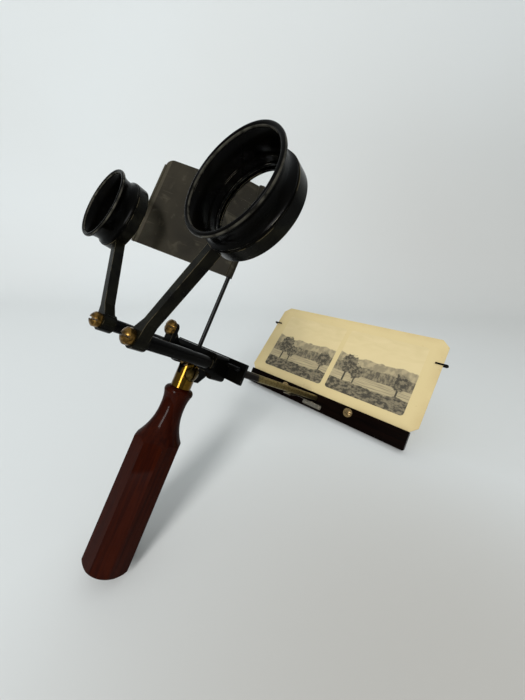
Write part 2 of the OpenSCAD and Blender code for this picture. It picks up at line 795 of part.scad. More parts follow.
// Spring wire that rises behind the card and hooks round its edge.
module wire_clip(side) {
    color("#1c1a18") on_card() bent_wire(
        [
            [side * clip_x, wire_y, -clip_seat], [side * clip_x, wire_y, clip_lift],
            [side * (card_w / 2 - 5), wire_y, hook_z], [side * hook_x, wire_y, hook_z],
            [side * hook_x, -wire_y, hook_z], [side * (card_w / 2 - hook_reach), -wire_y, hook_z]
        ],
        [clip_bend, clip_bend / 2, hook_bend, hook_bend],
        wire_d
    );
}

// Leaf spring screwed to the bar's face: it presses up on the rail so the carrier stays put.
module friction_spring() {
    under = rail_top - rail_h - spring_t / 2 - rail_gap;
    foot_top = spring_screw_z() + spring_foot_h / 2;
    face = bar_front - spring_t / 2;
    color("#a7a49a") difference() {
        union() {
            across_x(spring_w) bent_strip(
                [
                    [face, foot_top - spring_foot_h / 2], [face, foot_top],
                    [face - spring_reach, under], [face - spring_reach - spring_tip, under - spring_sag / 2]
                ],
                spring_t
            );
            along_y(bar_front - spring_t, bar_front) round_box(
                [-spring_foot_w / 2, foot_top - spring_foot_h], [spring_foot_w / 2, foot_top], 1);
        }
        for (side = [-1, 1]) translate([side * spring_screw_x, 0, spring_screw_z()])
            rod_y(spring_screw_d + 2 * running_gap, bar_front - spring_t - pass, bar_front + pass);
    }
}

module spring_screw(side) {
    color("#8f8b80")
        translate([side * spring_screw_x, bar_front - spring_t, spring_screw_z()]) rotate([90, 0, 0])
            slotted_screw(spring_head_d, spring_head_d * 0.4, spring_screw_d, bar_t / 2 + spring_t);
}

// Thick card with cut corners, standing in the bar's groove.
module stereo_card() {
    half = card_w / 2;
    color("#dcc894") on_card() along_y(-card_t / 2, card_t / 2) polygon([
        [-half + card_corner, 0], [half - card_corner, 0], [half, card_corner],
        [half, card_h - card_corner], [half - card_corner, card_h], [-half + card_corner, card_h],
        [-half, card_h - card_corner], [-half, card_corner]
    ]);
}

stand() crosshead_block();
stand() back_plate();
stand() plate_screw(-1);  // plate_screw_left
stand() plate_screw(1);  // plate_screw_right
stand() rail_pin();
stand() barrel(-1);  // barrel_left
stand() barrel(1);  // barrel_right
stand() arm_screw(-1);  // arm_screw_left
stand() arm_screw(1);  // arm_screw_right
stand() arm_washer(-1);  // arm_washer_left
stand() arm_washer(1);  // arm_washer_right
stand() front_lug();
stand() lug_screw();
stand() handle_bracket();
stand() rail();
stand() rail_stop_screw();
stand() lens_arm(-1);  // lens_arm_left
stand() lens(-1);  // lens_left
stand() lens_ring(-1);  // lens_ring_left
stand() eye_cup(-1);  // eye_cup_left
stand() lens_arm(1);  // lens_arm_right
stand() lens(1);  // lens_right
stand() lens_ring(1);  // lens_ring_right
stand() eye_cup(1);  // eye_cup_right
stand() septum_post();
stand() septum_plate();
stand() handle_ferrule();
stand() handle_grip();
stand() pivot_screw();
stand() card_bar();
stand() bar_screw(-1);  // bar_screw_left
stand() bar_screw(1);  // bar_screw_right
stand() wire_clip(-1);  // wire_clip_left
stand() wire_clip(1);  // wire_clip_right
stand() friction_spring();
stand() spring_screw(-1);  // spring_screw_left
stand() spring_screw(1);  // spring_screw_right
stand() stereo_card();
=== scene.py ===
"""Dresses a folding hand stereoscope for a studio photograph.

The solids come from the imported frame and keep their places. This script gives each of them its
finish, adds the printed picture pair to the card, and sets up the floor, the light and the camera.
"""

import logging
import math
from dataclasses import dataclass
from enum import Enum
from typing import Sequence

import bmesh
import bpy
from mathutils import Matrix, Vector


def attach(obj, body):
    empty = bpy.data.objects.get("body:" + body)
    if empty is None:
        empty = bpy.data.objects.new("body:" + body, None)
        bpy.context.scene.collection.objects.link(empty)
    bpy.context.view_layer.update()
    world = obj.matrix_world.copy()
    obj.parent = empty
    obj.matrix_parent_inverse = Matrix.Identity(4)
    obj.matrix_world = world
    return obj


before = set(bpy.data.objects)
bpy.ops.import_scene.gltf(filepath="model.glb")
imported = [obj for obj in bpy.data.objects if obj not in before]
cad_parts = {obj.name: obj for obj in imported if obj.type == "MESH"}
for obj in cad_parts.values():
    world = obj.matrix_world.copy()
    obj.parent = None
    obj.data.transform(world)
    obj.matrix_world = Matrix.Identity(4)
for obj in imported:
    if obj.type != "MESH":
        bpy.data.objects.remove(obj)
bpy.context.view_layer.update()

LOG = logging.getLogger("stereoscope")
MM = 0.001

Colour = tuple[float, float, float, float]
Point = tuple[float, float, float]
Span = tuple[float, float]
Socket = bpy.types.NodeSocket


class Side(Enum):
    """The viewer's left or right eye."""

    LEFT = -1
    RIGHT = 1

    @property
    def label(self) -> str:
        """The side's word in node and body names."""
        return self.name.lower()


class Axis(Enum):
    """A coordinate of a local frame."""

    X = 0
    Y = 1
    Z = 2


class Mix(Enum):
    """What a mix node blends: its data type, the places of its two inputs and of its output."""

    NUMBER = ("FLOAT", 2, 3, 0)
    COLOUR = ("RGBA", 6, 7, 2)


@dataclass(frozen=True)
class Bench:
    """The viewer's own frame, in millimetres, and how it stands on the table.

    X is to the viewer's right, Y runs along the rail to the card and Z is square to the rail.
    """

    tilt: float = math.radians(31.751979)
    centre_y: float = 70.277241
    floor_z: float = -98.013799
    arm_spread: float = 30.0
    arm_length: float = 59.5
    arm_splay: float = math.radians(30.2)
    post_y: float = 2.9
    septum_turn: float = math.radians(270 - 56.2)
    pivot_y: float = 1.85
    pivot_z: float = -8.8
    card_y: float = 162.6
    card_z: float = 2.3
    card_lean: float = math.radians(14.3)

    def place(self) -> Matrix:
        """The bench's place in the row frame, in metres."""
        shift = Matrix.Translation(Vector((0.0, -self.centre_y, -self.floor_z)) * MM)
        return shift @ Matrix.Rotation(-self.tilt, 4, "X")

    def at(self, x: float, y: float, z: float) -> Matrix:
        """A frame along the bench's axes, at a point in millimetres."""
        return self.place() @ Matrix.Translation(Vector((x, y, z)) * MM)

    def arm(self, side: Side) -> Matrix:
        """The frame of one arm: Z runs up the arm from its pivot."""
        splay = Matrix.Rotation(side.value * self.arm_splay, 4, "Y")
        return self.at(side.value * self.arm_spread / 2, 0, 0) @ splay

    def lens(self, side: Side) -> Matrix:
        """The frame of one lens: Y is its axis, towards the card."""
        return self.arm(side) @ Matrix.Translation(Vector((0, 0, self.arm_length)) * MM)

    def septum(self) -> Matrix:
        """The septum's frame: X runs from its post to its free edge."""
        return self.at(0, self.post_y, 0) @ Matrix.Rotation(self.septum_turn, 4, "Z")

    def handle(self) -> Matrix:
        """The handle's frame, at its pivot: Z runs up the grip."""
        return self.at(0, self.pivot_y, self.pivot_z)

    def card(self) -> Matrix:
        """The card's frame: X and Z lie in its face, Y points behind it."""
        return self.at(0, self.card_y, self.card_z) @ Matrix.Rotation(-self.card_lean, 4, "X")


BENCH = Bench()


@dataclass(frozen=True)
class Noise:
    """A cloudy noise from 0 to 1.

    Attributes:
        scale: Features per millimetre.
        detail: Octaves of finer noise.
        swirl: How far it is distorted.
        stretch: Scale of the place along each axis before the noise is read.
    """

    scale: float
    detail: float
    swirl: float = 0.0
    stretch: Point | None = None


class Graph:
    """The nodes of one material: a Principled shader and short ways to feed it."""

    line_detail = 5.0
    edge_samples = 6
    edge_bend: Span = (0.995, 0.9)

    def __init__(self, name: str) -> None:
        """Starts a material with an empty tree.

        Args:
            name: The material's name.
        """
        self.material = bpy.data.materials.new(name)
        self.material.use_nodes = True
        self.tree = self.material.node_tree
        self.tree.nodes.clear()
        self.shader = self.node("ShaderNodeBsdfPrincipled")
        output = self.node("ShaderNodeOutputMaterial")
        self.tree.links.new(self.shader.outputs["BSDF"], output.inputs["Surface"])

    def node(self, kind: str) -> bpy.types.Node:
        """Adds a node of the given kind."""
        return self.tree.nodes.new(kind)

    def feed(self, socket: Socket, value: object) -> None:
        """Gives an input its value.

        Args:
            socket: The input.
            value: Another node's output, or a constant.
        """
        if isinstance(value, Socket):
            self.tree.links.new(value, socket)
        else:
            socket.default_value = value

    def set(self, **inputs: object) -> None:
        """Feeds the shader's inputs by name, with underscores for spaces."""
        for name, value in inputs.items():
            self.feed(self.shader.inputs[name.replace("_", " ")], value)

    def coords(self, place: Matrix) -> Socket:
        """The surface's point in a local frame, in millimetres.

        Args:
            place: The local frame's place in the row frame.

        Returns:
            A vector output.
        """
        inverse = place.inverted()
        mapping = self.node("ShaderNodeMapping")
        mapping.inputs["Scale"].default_value = (1 / MM, 1 / MM, 1 / MM)
        mapping.inputs["Rotation"].default_value = inverse.to_euler("XYZ")
        mapping.inputs["Location"].default_value = inverse.to_translation() / MM
        self.feed(mapping.inputs["Vector"], self.node("ShaderNodeTexCoord").outputs["Object"])
        return mapping.outputs["Vector"]

    def vector(self, operation: str, a: object, b: object) -> bpy.types.Node:
        """A vector operation on two inputs."""
        node = self.node("ShaderNodeVectorMath")
        node.operation = operation
        self.feed(node.inputs[0], a)
        self.feed(node.inputs[1], b)
        return node

    def stretch(self, vector: Socket, scale: Sequence[float]) -> Socket:
        """A vector scaled along each axis."""
        return self.vector("MULTIPLY", vector, tuple(scale)).outputs["Vector"]

    def distance(self, vector: Socket, point: Point) -> Socket:
        """How far a vector is from a point."""
        return self.vector("DISTANCE", vector, point).outputs["Value"]

    def part(self, vector: Socket, axis: Axis) -> Socket:
        """One coordinate of a vector."""
        node = self.node("ShaderNodeSeparateXYZ")
        self.feed(node.inputs[0], vector)
        return node.outputs[axis.value]

    def noise(self, point: Socket, noise: Noise) -> Socket:
        """A cloudy noise, read at a point in millimetres."""
        node = self.node("ShaderNodeTexNoise")
        node.inputs["Scale"].default_value = noise.scale
        node.inputs["Detail"].default_value = noise.detail
        node.inputs["Distortion"].default_value = noise.swirl
        self.feed(node.inputs["Vector"], self.stretch(point, noise.stretch) if noise.stretch else point)
        return node.outputs["Fac"]

    def skyline(self, along: Socket, scale: float, seed: float) -> Socket:
        """A smooth random line from 0 to 1.

        Args:
            along: Distance along the line.
            scale: Bumps per unit of distance.
            seed: Shifts to another stretch of the same noise.

        Returns:
            A value output.
        """
        node = self.node("ShaderNodeTexNoise")
        node.noise_dimensions = "1D"
        node.inputs["Scale"].default_value = scale
        node.inputs["Detail"].default_value = self.line_detail
        self.feed(node.inputs["W"], self.math("ADD", along, seed))
        return node.outputs["Fac"]

    def math(self, operation: str, a: object, b: object = 0.0) -> Socket:
        """Arithmetic on two values."""
        node = self.node("ShaderNodeMath")
        node.operation = operation
        self.feed(node.inputs[0], a)
        self.feed(node.inputs[1], b)
        return node.outputs[0]

    def ramp(self, value: object, ends: Span) -> Socket:
        """A smooth step: 0 at the first end, 1 at the second, whichever is larger."""
        rising = ends[0] < ends[1]
        node = self.node("ShaderNodeMapRange")
        node.interpolation_type = "SMOOTHSTEP"
        self.feed(node.inputs["Value"], value)
        node.inputs["From Min"].default_value = min(ends)
        node.inputs["From Max"].default_value = max(ends)
        node.inputs["To Min"].default_value = float(not rising)
        node.inputs["To Max"].default_value = float(rising)
        return node.outputs["Result"]

    def span(self, value: object, ends: Span) -> Socket:
        """A value from 0 to 1 spread between two numbers."""
        node = self.node("ShaderNodeMapRange")
        self.feed(node.inputs["Value"], value)
        node.inputs["To Min"].default_value, node.inputs["To Max"].default_value = ends
        return node.outputs["Result"]

    def mix(self, kind: Mix, factor: object, a: object, b: object) -> Socket:
        """A blend from a, where the factor is 0, to b, where it is 1."""
        data_type, first, second, result = kind.value
        node = self.node("ShaderNodeMix")
        node.data_type = data_type
        self.feed(node.inputs[0], factor)
        self.feed(node.inputs[first], a)
        self.feed(node.inputs[second], b)
        return node.outputs[result]

    def colour(self, factor: object, a: object, b: object) -> Socket:
        """A colour between a and b."""
        return self.mix(Mix.COLOUR, factor, a, b)

    def value(self, factor: object, a: object, b: object) -> Socket:
        """A number between a and b."""
        return self.mix(Mix.NUMBER, factor, a, b)

    def bump(self, height: Socket, relief: Span) -> Socket:
        """A normal that follows a height.

        Args:
            height: The height, from 0 to 1.
            relief: How much of it shows, and the height of 1 in millimetres.

        Returns:
            A normal output.
        """
        strength, depth = relief
        node = self.node("ShaderNodeBump")
        node.inputs["Strength"].default_value = strength
        node.inputs["Distance"].default_value = depth * MM
        self.feed(node.inputs["Height"], height)
        return node.outputs["Normal"]

    def edges(self, radius: float) -> Socket:
        """A mask of the sharp edges: 0 on open faces, 1 on the edge itself.

        Args:
            radius: How far the mask reaches from an edge, in millimetres.

        Returns:
            A value output.
        """
        bevel = self.node("ShaderNodeBevel")
        bevel.samples = self.edge_samples
        bevel.inputs["Radius"].default_value = radius * MM
        plain = self.node("ShaderNodeNewGeometry").outputs["Normal"]
        bend = self.vector("DOT_PRODUCT", bevel.outputs["Normal"], plain)
        return self.ramp(bend.outputs["Value"], self.edge_bend)


@dataclass(frozen=True)
class BlackLacquer:
    """Glossy black lacquer over brass, rubbed through along its edges.

    In this and the other finishes a span holds both ends of a smooth step or of a range, and
    relief is a bump's strength and its depth in millimetres.
    """

    name: str
    place: Matrix
    wear: float = 0.5
    edge_reach: float = 0.3
    black: Colour = (0.0009, 0.0009, 0.0008, 1)
    brown: Colour = (0.0014, 0.0012, 0.0008, 1)
    bare: Colour = (0.13, 0.105, 0.060, 1)
    gloss: float = 0.06
    rim_r: float | None = None
    rim_y: Span = (-47.1, -47.5)
    rim_line: Span = (0.60, 0.74)
    rim_noise: Noise = Noise(0.25, 4)
    rim_patch: Span = (0.36, 0.62)
    rim_share: Span = (0.06, 0.6)
    cloud: Noise = Noise(0.16, 5)
    fine: Noise = Noise(2.2, 6)
    worn_from: Span = (0.60, 0.72)
    wear_shift: float = 0.2
    chip_fine: Span = (0.70, 0.76)
    chip_cloud: Span = (0.52, 0.66)
    browned: Span = (0.35, 0.7)
    bare_metal: float = 0.9
    smooth: Span = (0.16, 0.30)
    bare_rough: float = 0.42
    relief: Span = (0.08, 0.02)

    def make(self) -> bpy.types.Material:
        """Builds the material."""
        g = Graph(self.name)
        point = g.coords(self.place)
        cloud = g.noise(point, self.cloud)
        fine = g.noise(point, self.fine)
        onset, full = (end - self.wear_shift * self.wear for end in self.worn_from)
        worn = g.math("MULTIPLY", g.edges(self.edge_reach), g.ramp(cloud, (onset, full)))
        chips = g.math("MULTIPLY", g.ramp(fine, self.chip_fine), g.ramp(cloud, self.chip_cloud))
        worn = g.math("MAXIMUM", worn, g.math("MULTIPLY", chips, self.wear))
        if self.rim_r:
            worn = g.math("MAXIMUM", worn, self.rim_wear(g, point))
        paint = g.colour(g.ramp(cloud, self.browned), self.black, self.brown)
        g.set(
            Base_Color=g.colour(worn, paint, self.bare),
            Metallic=g.math("MULTIPLY", worn, self.bare_metal),
            Roughness=g.value(worn, g.span(fine, self.smooth), self.bare_rough),
            Specular_IOR_Level=self.gloss,
            Normal=g.bump(fine, self.relief),
        )
        return g.material

    def rim_wear(self, g: Graph, point: Socket) -> Socket:
        """The patchy wear on both sides of a rolled rim's crest.

        Args:
            g: The material's nodes.
            point: The surface's point, with Y along the rim's axis.

        Returns:
            A value output.
        """
        radius = g.distance(g.stretch(point, (1, 0, 1)), (0, 0, 0))
        line = g.ramp(g.math("ABSOLUTE", g.math("SUBTRACT", radius, self.rim_r)), self.rim_line)
        patchy = g.span(g.ramp(g.noise(point, self.rim_noise), self.rim_patch), self.rim_share)
        rim = g.math("MULTIPLY", line, g.ramp(g.part(point, Axis.Y), self.rim_y))
        return g.math("MULTIPLY", rim, patchy)


@dataclass(frozen=True)
class SeptumPaint:
    """Dull dark paint on sheet, scuffed across and thin along the edges, with painted shade that leaves it
    darker towards its post and paler towards its free edge.
    """

    name: str
    place: Matrix
    dark: Colour = (0.0095, 0.0077, 0.0042, 1)
    pale: Colour = (0.0245, 0.0203, 0.0124, 1)
    hem: Colour = (0.058, 0.050, 0.033, 1)
    bare: Colour = (0.085, 0.073, 0.050, 1)
    cloud: Noise = Noise(0.06, 6, 0.6)
    scuff: Noise = Noise(1.0, 7, stretch=(0.05, 0.4, 0.9))
    speck: Noise = Noise(1.6, 6)
    blotch: Noise = Noise(0.17, 5, 0.8)
    edge_reach: float = 0.35
    edge_cloud: Span = (0.35, 0.6)
    scuffed: Span = (0.62, 0.74)
    scuff_share: float = 0.35
    # Painted shade: the span across the leaf and the share of the darkening towards the post.
    painted_shade_x: Span = (22.0, 52.0)
    painted_shade_share: float = 0.5
    paled: Span = (0.3, 0.72)
    pale_share: float = 0.5
    hem_x: Span = (53.2, 53.5)
    hem_share: Span = (0.4, 0.9)
    blotched: Span = (0.57, 0.72)
    blotch_share: Span = (0.1, 0.7)
    bare_metal: float = 0.6
    rough: Span = (0.46, 0.7)
    gloss: float = 0.09
    relief: Span = (0.15, 0.03)

    def make(self) -> bpy.types.Material:
        """Builds the material."""
        g = Graph(self.name)
        point = g.coords(self.place)
        across = g.part(point, Axis.X)
        cloud = g.noise(point, self.cloud)
        scuff = g.noise(point, self.scuff)
        speck = g.noise(point, self.speck)
        worn = g.math("MULTIPLY", g.edges(self.edge_reach), g.ramp(cloud, self.edge_cloud))
        scuffed = g.math("MULTIPLY", g.ramp(scuff, self.scuffed), self.scuff_share)
        worn = g.math("MAXIMUM", worn, scuffed)
        # Painted shade, not wear: the leaf pales from its post towards its free edge.
        rubbed = g.math("MULTIPLY", g.ramp(across, self.painted_shade_x), self.painted_shade_share)
        paled = g.math("MULTIPLY", g.ramp(cloud, self.paled), self.pale_share)
        paint = g.colour(g.math("ADD", paled, rubbed), self.dark, self.pale)
        strip = g.math("MULTIPLY", g.ramp(across, self.hem_x), g.span(speck, self.hem_share))
        paint = g.colour(strip, paint, self.hem)
        blotch = g.ramp(g.noise(point, self.blotch), self.blotched)
        paint = g.colour(g.math("MULTIPLY", blotch, g.span(speck, self.blotch_share)), paint, self.hem)
        g.set(
            Base_Color=g.colour(worn, paint, self.bare),
            Metallic=g.math("MULTIPLY", worn, self.bare_metal),
            Roughness=g.span(speck, self.rough),
            Specular_IOR_Level=self.gloss,
            Normal=g.bump(g.math("ADD", scuff, speck), self.relief),
        )
        return g.material


@dataclass(frozen=True)
class Brass:
    """Brass, from bright to browned, with fine rubbing marks, and black near its root if asked."""

    name: str
    place: Matrix
    bright: Colour = (0.19, 0.105, 0.026, 1)
    brown: Colour = (0.022, 0.0125, 0.004, 1)
    tarnish: Span = (0.42, 0.62)
    roughness: Span = (0.16, 0.36)
    grain: Point = (1.0, 1.0, 1.0)
    black_until: Span | None = None
    black: Colour = (0.0065, 0.0045, 0.004, 1)
    black_rough: float = 0.3
    black_ragged: float = 9.0
    cloud: Noise = Noise(0.55, 6, 0.4)
    rub: Noise = Noise(2.4, 6)
    stain_share: Span = (0.55, 1.0)
    stain_rough: float = 0.55
    gloss: float = 0.08
    relief: Span = (0.2, 0.03)

    def make(self) -> bpy.types.Material:
        """Builds the material."""
        g = Graph(self.name)
        point = g.coords(self.place)
        cloud = g.noise(point, self.cloud)
        rubbed = g.noise(g.stretch(point, self.grain), self.rub)
        stain = g.math("MULTIPLY", g.ramp(cloud, self.tarnish), g.span(rubbed, self.stain_share))
        tone = g.colour(stain, self.bright, self.brown)
        metal: object = 1.0
        rough = g.value(stain, g.span(rubbed, self.roughness), self.stain_rough)
        if self.black_until:
            ragged = g.math("MULTIPLY", cloud, self.black_ragged)
            metal = g.ramp(g.math("ADD", g.part(point, Axis.Y), ragged), self.black_until)
            tone = g.colour(metal, self.black, tone)
            rough = g.value(metal, self.black_rough, rough)
        g.set(
            Base_Color=tone,
            Metallic=metal,
            Roughness=rough,
            Specular_IOR_Level=self.gloss,
            Normal=g.bump(rubbed, self.relief),
        )
        return g.material


@dataclass(frozen=True)
class Steel:
    """Steel with a drawn grain and a few darker stains."""

    name: str
    place: Matrix
    bright: Colour = (0.33, 0.305, 0.25, 1)
    dark: Colour = (0.12, 0.105, 0.08, 1)
    drawn: Noise = Noise(1.0, 6, stretch=(3.0, 0.12, 3.0))
    spots: Noise = Noise(0.5, 6)
    stain: Span = (0.5, 0.72)
    smooth: Span = (0.2, 0.36)
    stain_rough: float = 0.5
    relief: Span = (0.15, 0.02)

    def make(self) -> bpy.types.Material:
        """Builds the material."""
        g = Graph(self.name)
        point = g.coords(self.place)
        drawn = g.noise(point, self.drawn)
        spots = g.ramp(g.noise(point, self.spots), self.stain)
        g.set(
            Base_Color=g.colour(spots, g.colour(drawn, self.dark, self.bright), self.dark),
            Metallic=1.0,
            Roughness=g.value(spots, g.span(drawn, self.smooth), self.stain_rough),
            Normal=g.bump(drawn, self.relief),
        )
        return g.material


@dataclass(frozen=True)
class Wood:
    """Varnished hardwood with its grain along one axis and short open pores.

    The figure and the pores have a scale across the grain and one along it.
    """

    name: str
    place: Matrix
    along: Axis
    dark: Colour
    light: Colour
    gloss: float = 0.5
    sheen: float = 0.05
    rub: float = 0.0
    figure: Span = (0.35, 0.022)
    figure_noise: Noise = Noise(1.0, 6, 1.2)
    bands: Span = (0.32, 0.68)
    pore: Span = (3.2, 0.11)
    pore_noise: Noise = Noise(1.0, 3)
    pores: Span = (0.60, 0.70)
    pore_share: float = 0.7
    pore_dark: float = 0.4
    rub_reach: float = 0.7
    rub_noise: Noise = Noise(0.2, 5)
    rubbed: Span = (0.5, 0.7)
    rub_pale: float = 2.6
    varnish: Noise = Noise(0.6, 5)
    rough: Span = (0.24, 0.38)
    coat_rough: float = 0.05
    relief: Span = (0.12, 0.05)

    def grained(self, scales: Span) -> list[float]:
        """The scale on each axis, from the scales across and along the grain."""
        across, along = scales
        return [along if axis is self.along else across for axis in Axis]

    @staticmethod
    def scaled(colour: Colour, factor: float) -> Colour:
        """A colour made darker or paler, up to white."""
        red, green, blue = (min(1.0, factor * part) for part in colour[:3])
        return (red, green, blue, 1.0)

    def make(self) -> bpy.types.Material:
        """Builds the material."""
        g = Graph(self.name)
        point = g.coords(self.place)
        rings = g.noise(g.stretch(point, self.grained(self.figure)), self.figure_noise)
        bands = g.ramp(rings, self.bands)
        pores = g.ramp(g.noise(g.stretch(point, self.grained(self.pore)), self.pore_noise), self.pores)
        tone = g.colour(bands, self.dark, self.light)
        pitted = g.math("MULTIPLY", pores, self.pore_share)
        tone = g.colour(pitted, tone, self.scaled(self.dark, self.pore_dark))
        rubbed = g.ramp(g.noise(point, self.rub_noise), self.rubbed)
        rubbed = g.math("MULTIPLY", g.edges(self.rub_reach), rubbed)
        pale = self.scaled(self.light, self.rub_pale)
        g.set(
            Base_Color=g.colour(g.math("MULTIPLY", rubbed, self.rub), tone, pale),
            Roughness=g.span(g.noise(point, self.varnish), self.rough),
            Specular_IOR_Level=self.sheen,
            Coat_Weight=self.gloss,
            Coat_Roughness=self.coat_rough,
            Normal=g.bump(g.math("SUBTRACT", bands, pores), self.relief),
        )
        return g.material


@dataclass(frozen=True)
class LensGlass:
    """Clear glass with faint patches of dust.

    Its index is lower than that of real glass, which gives the weak bend that the lenses show.
    """

    name: str
    place: Matrix
    tint: Colour = (0.97, 0.985, 0.98, 1)
    index: float = 1.15
    gloss: float = 0.8
    dust: Noise = Noise(1.2, 6)
    dusty: Span = (0.55, 0.8)
    dust_rough: float = 0.05

    def make(self) -> bpy.types.Material:
        """Builds the material."""
        g = Graph(self.name)
        dust = g.ramp(g.noise(g.coords(self.place), self.dust), self.dusty)
        g.set(
            Base_Color=self.tint,
            Transmission_Weight=1.0,
            IOR=self.index,
            Specular_IOR_Level=self.gloss,
            Roughness=g.math("MULTIPLY", dust, self.dust_rough),
        )
        return g.material


@dataclass(frozen=True)
class CardBoard:
    """Buff board, browned towards its edges, with fibres and foxing."""

    name: str
    place: Matrix
    half_w: float = 89.0
    height: float = 90.0
    buff: Colour = (0.59, 0.48, 0.248, 1)
    brown: Colour = (0.44, 0.32, 0.145, 1)
    fox: Colour = (0.35, 0.22, 0.09, 1)
    cloud: Noise = Noise(0.035, 6, 0.5)
    fibre: Noise = Noise(1.3, 8, stretch=(0.7, 1.0, 3.0))
    fibre_share: Span = (0.0, 0.22)
    foxing: Noise = Noise(0.32, 5)
    foxed: Span = (0.66, 0.74)
    fox_share: float = 0.3
    side_rim: Span = (0.88, 1.02)
    end_rim: Span = (0.42, 0.51)
    aged: Span = (0.25, 0.7)
    age_share: float = 0.5
    rough: Span = (0.6, 0.82)
    gloss: float = 0.3
    relief: Span = (0.18, 0.05)

    def make(self) -> bpy.types.Material:
        """Builds the material."""
        g = Graph(self.name)
        point = g.coords(self.place)
        cloud = g.noise(point, self.cloud)
        fibre = g.noise(point, self.fibre)
        side = g.math("DIVIDE", g.math("ABSOLUTE", g.part(point, Axis.X)), self.half_w)
        rise = g.math("DIVIDE", g.part(point, Axis.Z), self.height)
        off_middle = g.math("ABSOLUTE", g.math("SUBTRACT", rise, 0.5))
        rim = g.math("MAXIMUM", g.ramp(side, self.side_rim), g.ramp(off_middle, self.end_rim))
        age = g.math("MULTIPLY", rim, g.ramp(cloud, self.aged))
        spots = g.math("MULTIPLY", g.ramp(g.noise(point, self.foxing), self.foxed), self.fox_share)
        tone = g.colour(g.span(fibre, self.fibre_share), self.buff, self.brown)
        tone = g.colour(g.math("MULTIPLY", age, self.age_share), tone, self.brown)
        g.set(
            Base_Color=g.colour(spots, tone, self.fox),
            Roughness=g.span(fibre, self.rough),
            Specular_IOR_Level=self.gloss,
            Normal=g.bump(fibre, self.relief),
        )
        return g.material


@dataclass(frozen=True)
class Ridge:
    """One ridge line of a view, measured in the picture's width and height.

    Attributes:
        base: Lowest height of the ridge.
        rise: How far its bumps rise.
        bumps: Bumps across the picture.
        seed: Which ridge line.
        nearness: How far it shifts between the two pictures, 1 for the nearest.
    """

    base: float
    rise: float
    bumps: float
    seed: float
    nearness: float


@dataclass(frozen=True)
class Tree:
    """One round-headed tree: where it stands, the middle of its head and the head's half width."""

    x: float
    middle: float
    half_w: float


